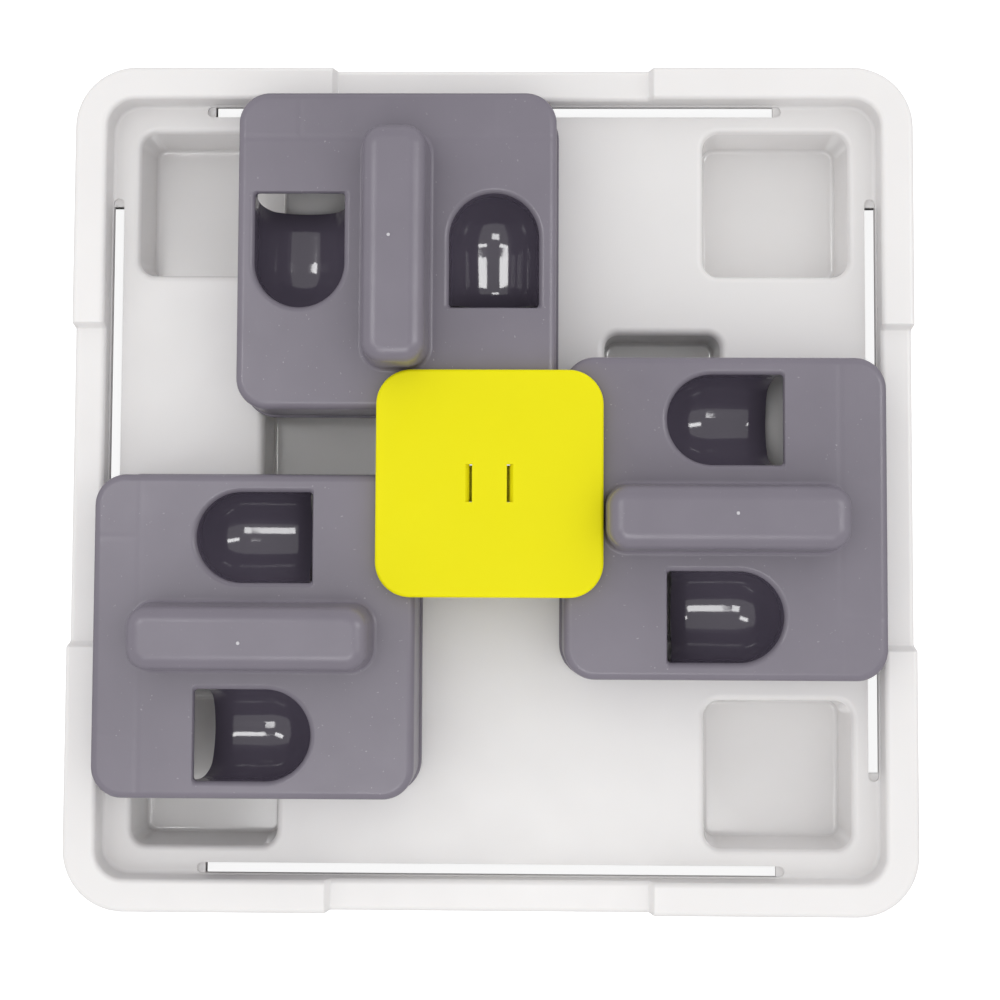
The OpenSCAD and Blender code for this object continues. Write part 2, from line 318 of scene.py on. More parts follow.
def shaped_box(half_x, half_y, radius, side):
    """Box with rounded corners whose side follows [inset, z] points from the bottom to the top."""
    return loft([box_ring(half_x - d, half_y - d, radius - d, z) for d, z in side])


def block(low, high):
    """Plain box between two corners, used for ribs and cuts."""
    corners = [(low[0], low[1]), (high[0], low[1]), (high[0], high[1]), (low[0], high[1])]
    return loft([[Vector((x, y, z)) for x, y in corners] for z in (low[2], high[2])])


def stick_out(points, width):
    """Prism of an outline in the XZ plane, centred on Y."""
    rings = [[Vector((x, y, z)) for x, z in points] for y in (-width / 2, width / 2)]
    return loft(rings)


def round_ring(x, y, z, radius, steps=72):
    """Circle at height z, counter-clockwise."""
    turns = [2 * math.pi * i / steps for i in range(steps)]
    return [Vector((x + radius * math.cos(a), y + radius * math.sin(a), z)) for a in turns]


def moved(shape, matrix):
    """The shape, with its mesh moved by the matrix."""
    shape.data.transform(matrix)
    return shape


def combine(target, tool, operation):
    """Boolean of two shapes, stored in the target. The tool is used up."""
    change = target.modifiers.new("combine", "BOOLEAN")
    change.operation = operation
    change.solver = "MANIFOLD"
    change.object = tool
    graph = bpy.context.evaluated_depsgraph_get()
    mesh = bpy.data.meshes.new_from_object(target.evaluated_get(graph))
    target.modifiers.clear()
    target.data = mesh
    bpy.data.objects.remove(tool)
    return target


def add(target, tool):
    return combine(target, tool, "UNION")


def cut(target, tool):
    return combine(target, tool, "DIFFERENCE")


def shade(piece):
    """Smooth shading with crisp edges, where large flat faces stay flat up to their fillets."""
    for face in piece.data.polygons:
        face.use_smooth = True
    piece.data.set_sharp_from_angle(angle=SHARP_ANGLE)
    weights = piece.modifiers.new("weights", "WEIGHTED_NORMAL")
    weights.keep_sharp = True
    weights.weight = NORMAL_WEIGHT


def finish_piece(piece, name, node, materials, pick=None):
    """Scale to metres, colour and stand for a CAD node. pick gives a place's material number."""
    piece.name = name
    piece.data.name = name
    piece.data.transform(Matrix.Scale(MM, 4))
    piece.data.materials.clear()
    for material in materials:
        piece.data.materials.append(material)
    for face in piece.data.polygons:
        face.material_index = pick(face.center / MM) if pick else 0
    shade(piece)
    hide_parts(node)


# ---------------------------------------------------------------- tray

def middle_share(y):
    """1 in the lower middle stretch of a rim side, 0 at its corners, with a soft ramp between them."""
    t = (RIM_MIDDLE / 2 + RIM_RAMP - abs(y)) / RIM_RAMP
    t = min(max(t, 0.0), 1.0)
    return t * t * (3 - 2 * t)


def side_stations():
    """Places along one side of the tray where the rim's rings need points."""
    ramp = [RIM_MIDDLE / 2 + RIM_RAMP * (1 - i / 8) for i in range(9)]
    return [-y for y in ramp] + list(reversed(ramp))


def tray_ring(inset, z, dips=False, back=False):
    """Ring round the tray. Its middle stretches may dip with the rim and stand back with its outer face."""
    ring = []
    centre = TRAY_HALF - TRAY_R
    radius = TRAY_R - inset
    for quarter in range(4):
        turn = Matrix.Rotation(QUARTER * quarter, 3, "Z")
        for y in side_stations():
            share = middle_share(y)
            x = TRAY_HALF - inset - (PROUD * share if back else 0)
            ring.append(turn @ Vector((x, y, z - (RIM_DIP * share if dips else 0))))
        for i in range(ARC_STEPS + 1):
            a = QUARTER * i / ARC_STEPS
            ring.append(turn @ Vector((centre + radius * math.cos(a), centre + radius * math.sin(a), z)))
    return ring


def tray_body():
    """Skirt, rim and basin in one loft, from the underside over the rim down to the basin floor."""
    channel_out = RIM_W - TRAY_WALL
    skirt_in = SKIRT_DRAFT + TRAY_WALL
    rings = [
        tray_ring(channel_out, UNDER_Z),
        tray_ring(channel_out, CHANNEL_Z),
        tray_ring(CHANNEL_IN, CHANNEL_Z),
        tray_ring(SKIRT_DRAFT / 3 + TRAY_WALL, UNDER_Z),
        tray_ring(skirt_in, SKIRT_Z),
        tray_ring(SKIRT_DRAFT + SKIRT_EDGE_R, SKIRT_Z, back=True),
        tray_ring(SKIRT_DRAFT, SKIRT_Z + SKIRT_EDGE_R, back=True),
    ]
    rings += [tray_ring(d, z, dips=True, back=True) for d, z in fillet(0, RIM_Z, RIM_EDGE_R, "edge")]
    lip = fillet(RIM_W, RIM_Z, RIM_EDGE_R, "lip")
    rings += [tray_ring(d, z, dips=True) for d, z in reversed(lip)]
    foot = fillet(RIM_W, FLOOR_Z, FLOOR_FOOT_R, "foot")
    rings += [tray_ring(d, z) for d, z in reversed(foot)]
    return loft(rings)


def hollow(h):
    """Inside of a compartment or well, with rounded foot and mouth."""
    side = fillet(WALL_BACK + h.draft, CUP_FLOOR_Z, CUP_FOOT_R, "foot")
    side += fillet(WALL_BACK, FLOOR_Z, h.lip, "lip")
    side.append((WALL_BACK - h.lip, FLOOR_Z + OVER))
    return moved(shaped_box(h.half_x, h.half_y, h.corner, side), Matrix.Translation((h.x, h.y, 0)))


def hollow_shell(h):
    """Plastic round that hollow, under the basin floor."""
    side = fillet(WALL_BACK + h.draft, PAD_TOP, CUP_WALL / 2, "foot") + [(WALL_BACK, FLOOR_Z - OVER)]
    shell = shaped_box(h.half_x + CUP_WALL, h.half_y + CUP_WALL, h.corner + CUP_WALL, side)
    return moved(shell, Matrix.Translation((h.x, h.y, 0)))


def hollows():
    """Every compartment and well of the tray."""
    half = CUP_W / 2
    ends = [(x, y) for x in (-CUP_X, CUP_X) for y in (-CUP_X, CUP_X)]
    cups = [Hollow(x, y, half, half, CUP_R, CUP_LIP_R, CUP_DRAFT) for x, y in ends]
    half_x, half_y = WELL_W / 2, WELL_LEN / 2
    wells = [Hollow(x, 0, half_x, half_y, WELL_R, WELL_LIP_R, WELL_DRAFT) for x in (-WELL_X, WELL_X)]
    return cups + wells


def slot_ring(z):
    """Round-ended outline of the slot at the foot of the +X wall."""
    ring = []
    reach = (SLOT_LEN - SLOT_W) / 2
    for end in (1, -1):
        for i in range(ARC_STEPS + 1):
            a = 2 * QUARTER * i / ARC_STEPS
            x = end * SLOT_W / 2 * math.cos(a)
            y = end * (reach + SLOT_W / 2 * math.sin(a))
            ring.append(Vector((SLOT_X + x, y, z)))
    return ring


def slot_steps():
    """Shallow closed step at each end of every slot."""
    half, middle = SLOT_STEP_LEN / 2 + RIB_BITE, (SLOT_LEN - SLOT_STEP_LEN) / 2 + RIB_BITE
    reach = SLOT_W / 2 + RIB_BITE / 2
    for quarter in range(4):
        for y in (-middle, middle):
            high = (SLOT_X + reach, y + half, FLOOR_Z - SLOT_STEP_DOWN)
            step = block((SLOT_X - reach, y - half, UNDER_Z), high)
            yield moved(step, Matrix.Rotation(QUARTER * quarter, 4, "Z"))


def side_ribs():
    """Cross ribs past the ends of the slots, on all four sides."""
    low = PAD_TOP + CUP_WALL
    from_x = CUP_X + CUP_W / 2 - 2 * RIB_T + CUP_WALL
    to_x = TRAY_HALF - SKIRT_DRAFT - RIB_BITE
    for quarter in range(4):
        for end in (-1, 1):
            y = end * (SLOT_LEN + RIB_T) / 2
            rib = block((from_x, y - RIB_T / 2, low), (to_x, y + RIB_T / 2, UNDER_Z + OVER))
            yield moved(rib, Matrix.Rotation(QUARTER * quarter, 4, "Z"))


def floor_ribs():
    """Low crossed ribs that stiffen the basin floor from below."""
    reach = SLOT_X - SLOT_W / 2 - RIB_T
    low, high = UNDER_Z - FLOOR_RIB_H, UNDER_Z + OVER
    for side in (-1, 1):
        x, y = side * FLOOR_RIB_X, side * FLOOR_RIB_Y
        yield block((x - RIB_T / 2, -reach, low), (x + RIB_T / 2, reach, high))
        across = (reach, y + RIB_T / 2, high - RIB_OFFSET)
        yield block((-reach, y - RIB_T / 2, low + RIB_OFFSET), across)


def pad_rings():
    """Rings under the corner compartments that locate the foot pads."""
    inner = PAD_R + PAD_RING_GAP
    low, high = PAD_TOP - PAD_RING_DROP, PAD_TOP + CUP_WALL / 2
    for x_sign, y_sign in FEET.values():
        x, y = x_sign * CUP_X, y_sign * CUP_X
        ring = loft([round_ring(x, y, z, inner + PAD_RING_WALL) for z in (low, high)])
        yield cut(ring, loft([round_ring(x, y, z, inner) for z in (low - OVER, PAD_TOP)]))


def make_tray():
    tray = tray_body()
    for place in hollows():
        add(tray, hollow_shell(place))
    for rib in list(side_ribs()) + list(floor_ribs()):
        add(tray, rib)
    for ring in pad_rings():
        add(tray, ring)
    add(tray, shaped_box(POST_HALF, POST_HALF, POST_R, [(0, FLOOR_Z - OVER), (CORE_DRAFT, POST_Z)]))
    for place in hollows():
        cut(tray, hollow(place))
    inside = POST_HALF - POST_WALL
    core = [(0, UNDER_Z - FLOOR_RIB_H), (CORE_DRAFT, POST_Z - POST_CAP)]
    cut(tray, shaped_box(inside, inside, POST_R - POST_WALL, core))
    window_x = SLIT_X - SLIT_W / 2 + SLIT_GAP + WINDOW_GAP_X
    window_y = SLIT_LEN / 2 + WINDOW_GAP_Y
    cap_low = POST_Z - POST_CAP - OVER
    cut(tray, block((-window_x, -window_y, cap_low), (window_x, window_y, POST_Z + OVER)))
    for quarter in range(4):
        opening = loft([slot_ring(z) for z in (UNDER_Z - OVER, FLOOR_Z + OVER)])
        cut(tray, moved(opening, Matrix.Rotation(QUARTER * quarter, 4, "Z")))
    for step in slot_steps():
        add(tray, step)
    return tray


def tray_material_number(place):
    """1 inside the polished compartments and wells, 0 elsewhere."""
    if place.z > FLOOR_Z - 0.4 or place.z < CUP_FLOOR_Z - 0.1:
        return 0
    for h in hollows():
        if abs(place.x - h.x) < h.half_x and abs(place.y - h.y) < h.half_y:
            return 1
    return 0


# ---------------------------------------------------------------- slider

def slider_body():
    """Flanged shell of a slider, from the hollow's roof round the flange and over the plate's edge."""
    roof_z = PLATE_RISE - PLATE_T
    wall = FLANGE_OUT + SKIRT_SLOPE
    side = [
        (CAVITY_IN + RIM_EDGE_R, roof_z),
        (CAVITY_IN, roof_z - RIM_EDGE_R),
        (CAVITY_IN, GLIDE),
        (0.25, GLIDE),
        (0, GLIDE + 0.25),
        (0, FLANGE_H - 0.3),
        (0.3, FLANGE_H),
        (FLANGE_OUT - 0.1, FLANGE_H),
        (FLANGE_OUT + 0.02, FLANGE_H + 0.3),
    ]
    side += fillet(wall, PLATE_RISE, PLATE_EDGE_R, "edge")
    return shaped_box(SLIDER_HALF, SLIDER_HALF, PLATE_R, side)


def grip_bar():
    """Bar with drafted sides, a soft top edge and a small flare at its foot."""
    side = [(-BAR_FOOT_R, PLATE_RISE - OVER)]
    side += [(-d, z) for d, z in fillet(0, PLATE_RISE, BAR_FOOT_R, "foot")]
    side += fillet(BAR_DRAFT, PLATE_RISE + BAR_RISE, BAR_EDGE_DOWN, "edge", BAR_EDGE_ACROSS)
    return shaped_box(BAR_LEN / 2, BAR_W / 2, BAR_R, side)


def grip_bar_hollow():
    """Space inside the grip bar, open from below."""
    top = PLATE_RISE + BAR_RISE - BAR_WALL
    side = [
        (0, PLATE_RISE - PLATE_T - OVER),
        (BAR_DRAFT, top - RIM_EDGE_R),
        (BAR_DRAFT + RIM_EDGE_R, top),
    ]
    return shaped_box(BAR_LEN / 2 - BAR_WALL, BAR_W / 2 - BAR_WALL, BAR_R - BAR_WALL, side)


def trough_half(radius, z):
    """Half the trough's width at height z."""
    down = max(SCOOP_AXIS_Z - z, 0.0)
    return math.sqrt(max(radius * radius - down * down, 0.0))


def d_ring(half, end_x, z):
    """Outline of a scoop at height z: a flat end at end_x, straight sides and a half-round end."""
    corner = min(SCOOP_CORNER_R, half / 3)
    ring = []
    for side in (-1, 1):
        for i in range(CORNER_STEPS + 1):
            a = QUARTER * (i / CORNER_STEPS if side > 0 else i / CORNER_STEPS - 1)
            x = end_x - corner * (1 - math.cos(a))
            ring.append(Vector((x, side * (half - corner) + corner * math.sin(a), z)))
    steps = 3 * ARC_STEPS
    for i in range(steps + 1):
        a = QUARTER + 2 * QUARTER * i / steps
        ring.append(Vector((SCOOP_ROUND_X + half * math.cos(a), half * math.sin(a), z)))
    return ring


def trough_levels(radius):
    """Heights from the trough's bottom line up to its axis, evenly spaced round its section."""
    angles = [TROUGH_FIRST + (QUARTER - TROUGH_FIRST) * i / TROUGH_STEPS for i in range(TROUGH_STEPS + 1)]
    return [SCOOP_AXIS_Z - radius * math.cos(a) for a in angles]


def trough_cut():
    """Inside of a scoop, with a soft lip that fades along its flat end."""
    rings = [d_ring(trough_half(SCOOP_R, z), SCOOP_EDGE_X, z) for z in trough_levels(SCOOP_R)]
    lip = fillet(0, PLATE_RISE, SCOOP_LIP_R, "lip") + [(-SCOOP_LIP_R, PLATE_RISE + OVER)]
    rings += [d_ring(SCOOP_R - d, SCOOP_EDGE_X - SCOOP_FLAT_LIP * d, z) for d, z in lip]
    return loft(rings)


def floor_drop(x):
    """How far a scoop's floor has sunk at x: a slight slope, then a bend down at the mouth."""
    left = SCOOP_EDGE_X - x
    slope = min(max(SLOPE_LEN - left, 0.0) / (SLOPE_LEN - BEND_LEN), 1.0)
    bend = min(max(BEND_LEN - left, 0.0) / (BEND_LEN - BEND_END), 1.0)
    return SLOPE_DROP * slope + BEND_DROP * bend ** 2


def trough_flare(radius, end):
    """Half-round body that follows the scoop's sinking floor up to a distance from its straight edge."""
    rings = []
    for i in range(FLARE_STEPS + 1):
        x = SCOOP_EDGE_X - SLOPE_LEN + (SLOPE_LEN - end) * i / FLARE_STEPS
        ring = []
        for j in range(2 * ARC_STEPS + 1):
            a = QUARTER * (j / ARC_STEPS - 1)
            reach = radius - FLARE_SHRINK + floor_drop(x) * math.cos(a) ** 2
            ring.append(Vector((x, reach * math.sin(a), SCOOP_AXIS_Z - reach * math.cos(a))))
        rings.append(ring)
    return loft(rings)


def trough_shell():
    """Wall under a scoop, which ends on the leaning mouth plane."""
    radius = SCOOP_R + SCOOP_WALL
    low = SCOOP_AXIS_Z - radius
    rings = []
    for z in trough_levels(radius) + [PLATE_RISE - PLATE_T / 2]:
        lean = MOUTH_LEAN * (PLATE_RISE - z) / (PLATE_RISE - low)
        rings.append(d_ring(trough_half(radius, z), SCOOP_EDGE_X - lean, z))
    return loft(rings)


def scoop_turns():
    """Placement of the two scoops: the second is the first after half a turn."""
    place = Matrix.Translation((0, SCOOP_OFFSET, 0))
    return [place, Matrix.Rotation(2 * QUARTER, 4, "Z") @ place]


def slider_ribs():
    """Ribs under the plate that show as sink lines on its face."""
    inside = SLIDER_HALF - CAVITY_IN
    low, high = PLATE_RISE - PLATE_T - SINK_RIB_H, PLATE_RISE - PLATE_T / 2
    half = SINK_T / 2
    yield block((SINK_X - half, -inside - OVER, low), (SINK_X + half, inside + OVER, high))
    for y in (-SCOOP_OFFSET, SCOOP_OFFSET):
        end = (inside + OVER, y + half, high - RIB_OFFSET)
        yield block((SINK_X, y - half, low + RIB_OFFSET), end)


def hook():
    """Foot that hangs through the slot, with its toe outward under the floor."""
    toe_low = TOE_TOP - TOE_T
    outline = [
        (HOOK_IN, toe_low), (HOOK_OUT + TOE_OUT / 2, toe_low),
        (HOOK_OUT + TOE_OUT, TOE_TOP - TOE_T / 3), (HOOK_OUT + TOE_OUT, TOE_TOP),
        (HOOK_OUT, TOE_TOP), (HOOK_OUT, FLANGE_H), (HOOK_IN, FLANGE_H),
    ]
    return stick_out(outline, HOOK_W)


def gate_dot():
    """Tiny raised mark where the plastic entered the mould, on top of the bar."""
    top = PLATE_RISE + BAR_RISE
    levels = [(GATE_DOT_R, top - 0.3), (GATE_DOT_R, top + 0.08), (GATE_DOT_R * 0.6, top + 0.22)]
    return loft([round_ring(GATE_DOT_X, GATE_DOT_Y, z, radius, 20) for radius, z in levels])


def make_slider():
    slider = slider_body()
    add(slider, grip_bar())
    for turn in scoop_turns():
        add(slider, moved(trough_shell(), turn))
        add(slider, moved(trough_flare(SCOOP_R + SCOOP_WALL - 0.2, BEND_END), turn))
    for rib in slider_ribs():
        add(slider, rib)
    add(slider, hook())
    add(slider, gate_dot())
    cut(slider, grip_bar_hollow())
    for turn in scoop_turns():
        cut(slider, moved(trough_cut(), turn))
        cut(slider, moved(trough_flare(SCOOP_R, FLARE_END), turn))
    return slider


def slider_material_number(place):
    """1 inside the polished scoops, 2 on the gate mark, 0 elsewhere.

    The second scoop is the first one after half a turn. The scoops' darker grey is partly painted shade of
    the recess, and the gate mark's lighter grey is a painted highlight.
    """
    if place.z > PLATE_RISE + BAR_RISE + 0.05:
        return 2
    x, y = (place.x, place.y) if place.y > 0 else (-place.x, -place.y)
    y -= SCOOP_OFFSET
    if place.z > PLATE_RISE - SCOOP_LIP_R * 0.8 or x > SCOOP_EDGE_X - 0.05:
        return 0
    reach = math.hypot(min(x - SCOOP_ROUND_X, 0), math.hypot(y, min(place.z - SCOOP_AXIS_Z, 0)))
    return 1 if reach < SCOOP_R + floor_drop(x) + 0.15 else 0


def slider_place(node):
    """Rest placement of a slider: along its track it stands where the CAD node's box is."""
    turn, axis = SLIDERS[node]
    low, high = box_mm(node)
    angle = math.radians(turn)
    centre = Vector((TRACK * math.cos(angle), TRACK * math.sin(angle), FLOOR_Z))
    centre[axis] = (low[axis] + high[axis]) / 2
    return Matrix.Translation(centre * MM) @ Matrix.Rotation(angle, 4, "Z")


# ---------------------------------------------------------------- lid and foot pads

def lid_plate():
    """Rounded square plate of the lid, with a rim below its edge."""
    side = [(LID_LIP, POST_Z), (LID_LIP, LID_LOW_Z + 0.2), (LID_LIP - 0.2, LID_LOW_Z)]
    side += [(0.3, LID_LOW_Z), (0, LID_LOW_Z + 0.3)]
    side += fillet(0, LID_TOP_Z, LID_EDGE_R, "edge")
    return shaped_box(LID_HALF, LID_HALF, LID_R, side)


def lid_collar():
    """Collar under the lid that fits round the post."""
    inner = POST_HALF + COLLAR_GAP
    outer = inner + COLLAR_WALL
    low = POST_Z - COLLAR_H
    collar = shaped_box(outer, outer, POST_R + COLLAR_WALL, [(0, low), (0, POST_Z + OVER)])
    return cut(collar, shaped_box(inner, inner, POST_R, [(0, low - OVER), (0, POST_Z)]))


def snap_hook():
    """Stem through the post's window with a barb under the post's cap, below one slit."""
    stem_out = SLIT_X - SLIT_W / 2
    cap_low = POST_Z - POST_CAP - 0.2
    outline = [
        (stem_out - STEM_T, cap_low - BARB_H), (stem_out, cap_low - BARB_H),
        (stem_out + BARB_OUT, cap_low - BARB_H / 3), (stem_out + BARB_OUT, cap_low),
        (stem_out, cap_low), (stem_out, POST_Z + OVER), (stem_out - STEM_T, POST_Z + OVER),
    ]
    return stick_out(outline, SLIT_LEN - 0.4)


def slit_cut():
    """Slit over a snap hook: its outer wall leans, and only its inner part goes through."""
    inner, outer = SLIT_X - SLIT_W / 2, SLIT_X + SLIT_W / 2
    outline = [
        (inner, POST_Z - OVER), (inner + SLIT_GAP, POST_Z - OVER), (inner + SLIT_GAP, LID_TOP_Z - SLIT_LEAN),
        (outer, LID_TOP_Z - 0.2), (outer, LID_TOP_Z + OVER), (inner, LID_TOP_Z + OVER),
    ]
    return stick_out(outline, SLIT_LEN)


def make_lid():
    lid = lid_plate()
    add(lid, lid_collar())
    sides = [Matrix.Rotation(turn, 4, "Z") for turn in (0, 2 * QUARTER)]
    for side in sides:
        add(lid, moved(snap_hook(), side))
    for side in sides:
        cut(lid, moved(slit_cut(), side))
    return lid


def make_pad(x, y):
    """Round rubber pad with shallow grip grooves in its underside."""
    levels = [(2.2, 0.5), (2.7, 0.0), (4.4, 0.0), (4.8, 0.45), (5.4, 0.45), (5.8, 0.0), (7.3, 0.0)]
    levels += [(7.7, 0.45), (8.1, 0.45), (8.5, 0.0), (9.4, 0.0), (9.8, 0.2), (PAD_R, 0.6), (PAD_R, PAD_TOP)]
    return loft([round_ring(x, y, z, radius) for radius, z in levels])


# ---------------------------------------------------------------- materials

class Nodes:
    """Short way to add and join shader nodes."""

    def __init__(self, name):
        self.material = bpy.data.materials.new(name)
        self.material.use_nodes = True
        self.tree = self.material.node_tree
        self.shader = self.tree.nodes["Principled BSDF"]
        self.output = self.tree.nodes["Material Output"]
        place = self.tree.nodes.new("ShaderNodeTexCoord")
        self.place = place.outputs["Object"]

    def add(self, kind, **values):
        node = self.tree.nodes.new(kind)
        for key, value in values.items():
            if key in node.inputs:
                node.inputs[key].default_value = value
            else:
                setattr(node, key, value)
        return node

    def join(self, out, into):
        self.tree.links.new(out, into)

    def noise(self, scale, detail=3.0, stretch=None):
        node = self.add("ShaderNodeTexNoise", Scale=scale, Detail=detail, Roughness=0.55)
        source = self.place
        if stretch:
            mapping = self.add("ShaderNodeMapping", Scale=stretch)
            self.join(self.place, mapping.inputs["Vector"])
            source = mapping.outputs["Vector"]
        self.join(source, node.inputs["Vector"])
        return node.outputs["Fac"]

    def spread(self, value, low, high, to_low, to_high, smooth=False):
        kind = "SMOOTHSTEP" if smooth else "LINEAR"
        node = self.add("ShaderNodeMapRange", interpolation_type=kind)
        for key, number in (("From Min", low), ("From Max", high), ("To Min", to_low), ("To Max", to_high)):
            node.inputs[key].default_value = number
        self.join(value, node.inputs["Value"])
        return node.outputs["Result"]

    def blend(self, share, first, second):
        """Colour between first and second, each a socket or a colour."""
        node = self.add("ShaderNodeMix", data_type="RGBA")
        self.join(share, node.inputs["Factor"])
        for socket, value in ((node.inputs[6], first), (node.inputs[7], second)):
            if isinstance(value, bpy.types.NodeSocket):
                self.join(value, socket)
            else:
                socket.default_value = (*value, 1)
        return node.outputs[2]

    def math(self, operation, first, second=None):
        """One step of arithmetic between sockets and numbers."""
        node = self.add("ShaderNodeMath", operation=operation)
        for socket, value in zip(node.inputs, (first, second)):
            if isinstance(value, bpy.types.NodeSocket):
                self.join(value, socket)
            elif value is not None:
                socket.default_value = value
        return node.outputs["Value"]

    def line(self, value, at):
        """1 on the line where the value is at, fading to 0 on both its sides."""
        away = self.math("ABSOLUTE", self.math("SUBTRACT", value, at))
        return self.spread(away, 0.0, SINK_LINE_W * MM, 1.0, 0.0, smooth=True)

    def sink_lines(self):
        """Height of the shallow lines that the ribs inside draw on a slider's face."""
        place = self.add("ShaderNodeSeparateXYZ")
        self.join(self.place, place.inputs["Vector"])
        x, y = place.outputs["X"], place.outputs["Y"]
        along = self.line(x, SINK_X * MM)
        beyond = self.math("GREATER_THAN", x, SINK_X * MM)
        across = self.math("MULTIPLY", self.line(self.math("ABSOLUTE", y), SCOOP_OFFSET * MM), beyond)
        return self.math("SUBTRACT", 1.0, self.math("MAXIMUM", along, across))

    def bump(self, heights):
        """Stack of bumps from (height, strength, distance) entries."""
        below = None
        for height, strength, distance in heights:
            node = self.add("ShaderNodeBump", Strength=strength, Distance=distance)
            self.join(height, node.inputs["Height"])
            if below:
                self.join(below, node.inputs["Normal"])
            below = node.outputs["Normal"]
        self.join(below, self.shader.inputs["Normal"])


def moulded_plastic(name, colour, cloud, roughness, grain, specks=0.0, inside=0.0, gloss=0.5, sinks=False):
    """Moulded plastic: cloudy colour, fine grain, uneven gloss, a few specks of dust and faint sink lines."""
    made = Nodes(name)
    shader = made.shader
    lighter = [min(c * (1 + cloud), 1.0) for c in colour]
    darker = [c * (1 - cloud) for c in colour]
    base = made.blend(made.spread(made.noise(26, 4), 0.3, 0.7, 0, 1), darker, lighter)
    flow = made.noise(60, 2, stretch=(1, 0.25, 1))
    base = made.blend(made.spread(flow, 0.45, 0.75, 0, 0.25), base, lighter)
    if specks:
        dust = made.noise(1500, 0)
        base = made.blend(made.spread(dust, 0.85, 0.88, 0, specks), base, (0.6, 0.59, 0.58))
    made.join(base, shader.inputs["Base Color"])
    uneven = made.noise(90, 3)
    made.join(made.spread(uneven, 0.3, 0.7, roughness * 0.88, roughness * 1.12), shader.inputs["Roughness"])
    bumps = [(made.noise(45, 2), 0.12, 0.0004), (made.noise(3200, 2), grain, 0.00004)]
    if sinks:
        bumps.append((made.sink_lines(), SINK_STRENGTH, SINK_DEPTH))
    made.bump(bumps)
    shader.inputs["IOR"].default_value = 1.5
    shader.inputs["Specular IOR Level"].default_value = gloss
    if inside:
        shader.inputs["Subsurface Weight"].default_value = inside
        shader.inputs["Subsurface Radius"].default_value = (1.0, 0.9, 0.8)
        shader.inputs["Subsurface Scale"].default_value = 0.0025
    return made


def rubber(name):
    """Matte black rubber, slightly mottled."""
    made = Nodes(name)
    mottle = made.noise(300, 4)
    base = made.blend(made.spread(mottle, 0.3, 0.7, 0, 1), (0.035, 0.035, 0.038), (0.065, 0.065, 0.07))
    made.join(base, made.shader.inputs["Base Color"])
    made.join(made.spread(made.noise(120), 0.3, 0.7, 0.7, 0.85), made.shader.inputs["Roughness"])
    made.bump([(made.noise(2400, 3), 0.35, 0.0001)])
    return made


WHITE = (0.78, 0.765, 0.76)
GREY = (0.180, 0.164, 0.198)
# Darker grey inside the scoops: their gloss is real, but the extra darkness is painted shade of the recess.
GREY_SCOOP_SHADE = (0.11, 0.095, 0.13)
# Lighter grey on the gate mark: a painted highlight that stands in for its glint.
GREY_GATE_HIGHLIGHT = (0.5, 0.49, 0.52)
YELLOW = (0.80, 0.735, 0.006)

tray_satin = moulded_plastic("tray_satin", WHITE, 0.015, 0.42, 0.25, inside=0.15, gloss=0.3)
tray_gloss = moulded_plastic("tray_gloss", WHITE, 0.015, 0.14, 0.05, inside=0.15)
slider_satin = moulded_plastic("slider_satin", GREY, 0.06, 0.33, 0.5, specks=0.25, gloss=0.25, sinks=True)
# Scoop insides: polished, with a darker grey that is partly painted shade.
slider_gloss_and_shade = moulded_plastic("slider_gloss_and_shade", GREY_SCOOP_SHADE, 0.05, 0.09, 0.05)
# Gate mark material: its lighter grey is a painted highlight.
slider_gate_highlight = moulded_plastic("slider_gate_highlight", GREY_GATE_HIGHLIGHT, 0.05, 0.4, 0.3)
lid_satin = moulded_plastic("lid_satin", YELLOW, 0.01, 0.5, 0.35, inside=0.3, gloss=0.05)
pad_rubber = rubber("pad_rubber")


# ---------------------------------------------------------------- the pieces

tray = make_tray()
finish_piece(tray, "tray_moulding", "base_tray",
             [tray_satin.material, tray_gloss.material], tray_material_number)
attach(tray, "tray")

first = make_slider()
for node in SLIDERS:
    piece = first.copy()
    piece.data = first.data.copy()
    bpy.context.scene.collection.objects.link(piece)
    finish_piece(piece, node + "_moulding", node,
                 [slider_satin.material, slider_gloss_and_shade.material, slider_gate_highlight.material], slider_material_number)
    piece.matrix_world = slider_place(node)
    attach(piece, node)
bpy.data.objects.remove(first)

lid = make_lid()
finish_piece(lid, "lid_moulding", "centre_lid", [lid_satin.material])
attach(lid, "tray")

for node, (x_sign, y_sign) in FEET.items():
    pad = make_pad(x_sign * CUP_X, y_sign * CUP_X)
    finish_piece(pad, node.replace("foot", "rubber_pad"), node, [pad_rubber.material])
    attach(pad, "tray")


# ---------------------------------------------------------------- floor, light and camera

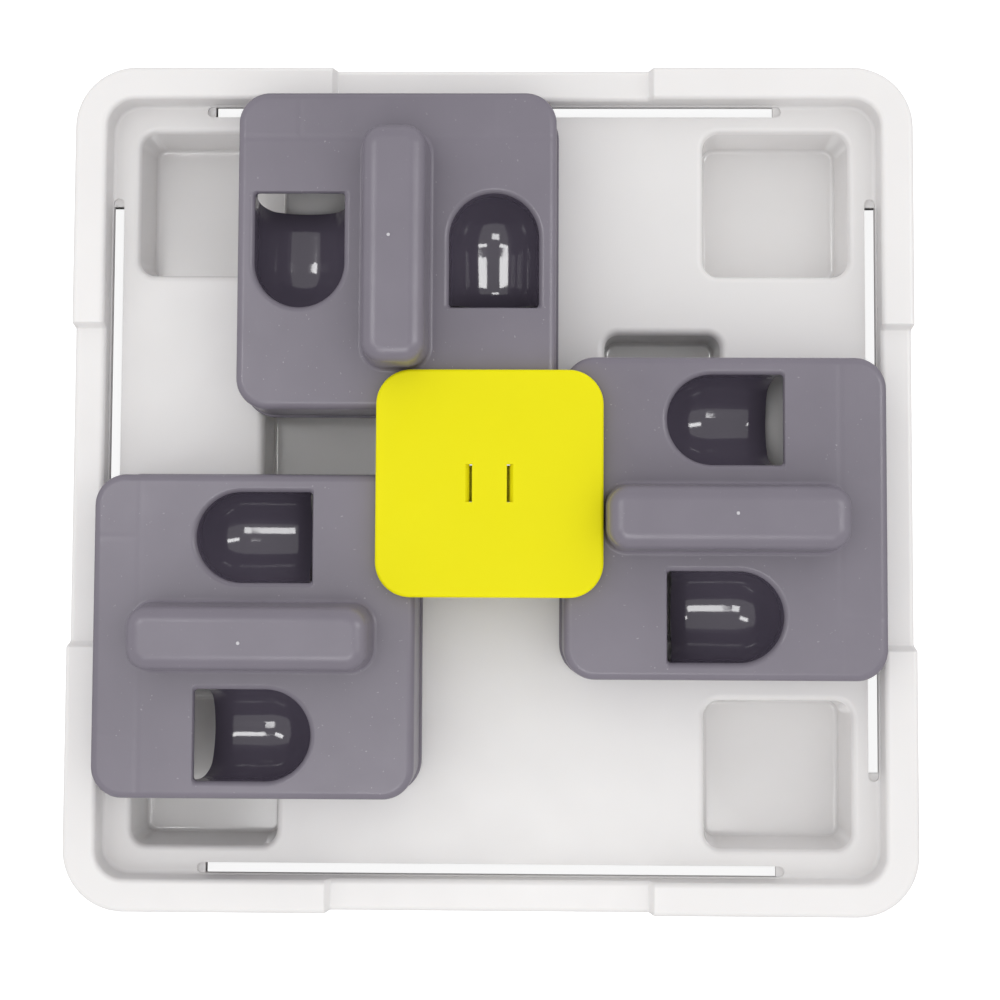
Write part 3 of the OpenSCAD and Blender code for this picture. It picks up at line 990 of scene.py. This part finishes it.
def make_floor():
    """Pale floor that reads as a white background and keeps the object's soft shadow."""
    half = FLOOR_HALF
    mesh = bpy.data.meshes.new("studio_floor")
    corners = [(-half, -half, 0), (half, -half, 0), (half, half, 0), (-half, half, 0)]
    mesh.from_pydata(corners, [], [(0, 1, 2, 3)])
    floor = bpy.data.objects.new("studio_floor", mesh)
    bpy.context.scene.collection.objects.link(floor)
    made = Nodes("floor_paper")
    shader = made.shader
    made.join(made.blend(made.noise(8), (0.30, 0.30, 0.30), (0.33, 0.33, 0.33)), shader.inputs["Base Color"])
    shader.inputs["Roughness"].default_value = 0.9
    shader.inputs["Specular IOR Level"].default_value = 0.1
    glow = made.add("ShaderNodeEmission", Color=(1, 1, 1, 1), Strength=FLOOR_GLOW)
    both = made.add("ShaderNodeAddShader")
    rays = made.add("ShaderNodeLightPath")
    pick = made.add("ShaderNodeMixShader")
    made.join(shader.outputs["BSDF"], both.inputs[0])
    made.join(glow.outputs["Emission"], both.inputs[1])
    made.join(rays.outputs["Is Camera Ray"], pick.inputs["Fac"])
    made.join(shader.outputs["BSDF"], pick.inputs[1])
    made.join(both.outputs["Shader"], pick.inputs[2])
    made.join(pick.outputs["Shader"], made.output.inputs["Surface"])
    mesh.materials.append(made.material)
    floor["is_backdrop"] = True


def make_glint(name, aim, distance, size, radiance):
    """Soft box in the direction aim that shows only in gloss and adds no diffuse light."""
    data = bpy.data.lights.new(name, "AREA")
    data.shape = "RECTANGLE"
    data.size, data.size_y = size
    data.energy = radiance * math.pi * data.size * data.size_y
    light = bpy.data.objects.new(name, data)
    bpy.context.scene.collection.objects.link(light)
    way = Vector(aim).normalized()
    light.location = way * distance
    light.rotation_euler = way.to_track_quat("Z", "Y").to_euler()
    light.visible_camera = False
    light.visible_diffuse = False


def make_world():
    """Light tent, brightest at the horizon, with white behind the object."""
    world = bpy.data.worlds.new("studio")
    bpy.context.scene.world = world
    world.use_nodes = True
    nodes = world.node_tree.nodes
    links = world.node_tree.links
    soft = nodes["Background"]
    soft.inputs["Color"].default_value = (1, 1, 1, 1)
    place = nodes.new("ShaderNodeTexCoord")
    split = nodes.new("ShaderNodeSeparateXYZ")
    fade = nodes.new("ShaderNodeMapRange")
    span = {"From Min": 0.0, "From Max": TENT_FADE, "To Min": TENT_SIDES, "To Max": TENT_TOP}
    for key, number in span.items():
        fade.inputs[key].default_value = number
    links.new(place.outputs["Generated"], split.inputs["Vector"])
    links.new(split.outputs["Z"], fade.inputs["Value"])
    links.new(fade.outputs["Result"], soft.inputs["Strength"])
    clear = nodes.new("ShaderNodeBackground")
    clear.inputs["Strength"].default_value = 1.0
    rays = nodes.new("ShaderNodeLightPath")
    pick = nodes.new("ShaderNodeMixShader")
    links.new(rays.outputs["Is Camera Ray"], pick.inputs["Fac"])
    links.new(soft.outputs["Background"], pick.inputs[1])
    links.new(clear.outputs["Background"], pick.inputs[2])
    links.new(pick.outputs["Shader"], nodes["World Output"].inputs["Surface"])


def make_camera():
    """Near-overhead camera, at the place and turn that fit the photograph's perspective."""
    data = bpy.data.cameras.new("camera")
    data.sensor_width = 36.0
    data.lens = CAMERA_FOCAL_PIXELS / FRAME_PIXELS * data.sensor_width
    data.shift_y = CAMERA_SHIFT_Y
    data.clip_start = 0.01
    camera = bpy.data.objects.new("camera", data)
    bpy.context.scene.collection.objects.link(camera)
    turn_x, turn_y, turn_z = CAMERA_TURN
    turn = Matrix.Rotation(turn_z, 4, "Z") @ Matrix.Rotation(turn_y, 4, "Y") @ Matrix.Rotation(turn_x, 4, "X")
    camera.matrix_world = Matrix.Translation(Vector(CAMERA_PLACE) * MM) @ turn
    bpy.context.scene.camera = camera


make_floor()
make_world()
for name, setting in GLINTS.items():
    make_glint(name, *setting)
make_camera()
bpy.context.scene.view_settings.view_transform = "Standard"

bpy.context.view_layer.update()
visual_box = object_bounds()
boxes = {"cad": cad_box, "visual": visual_box}
{key: [list(corner) for corner in box] for key, box in boxes.items()}
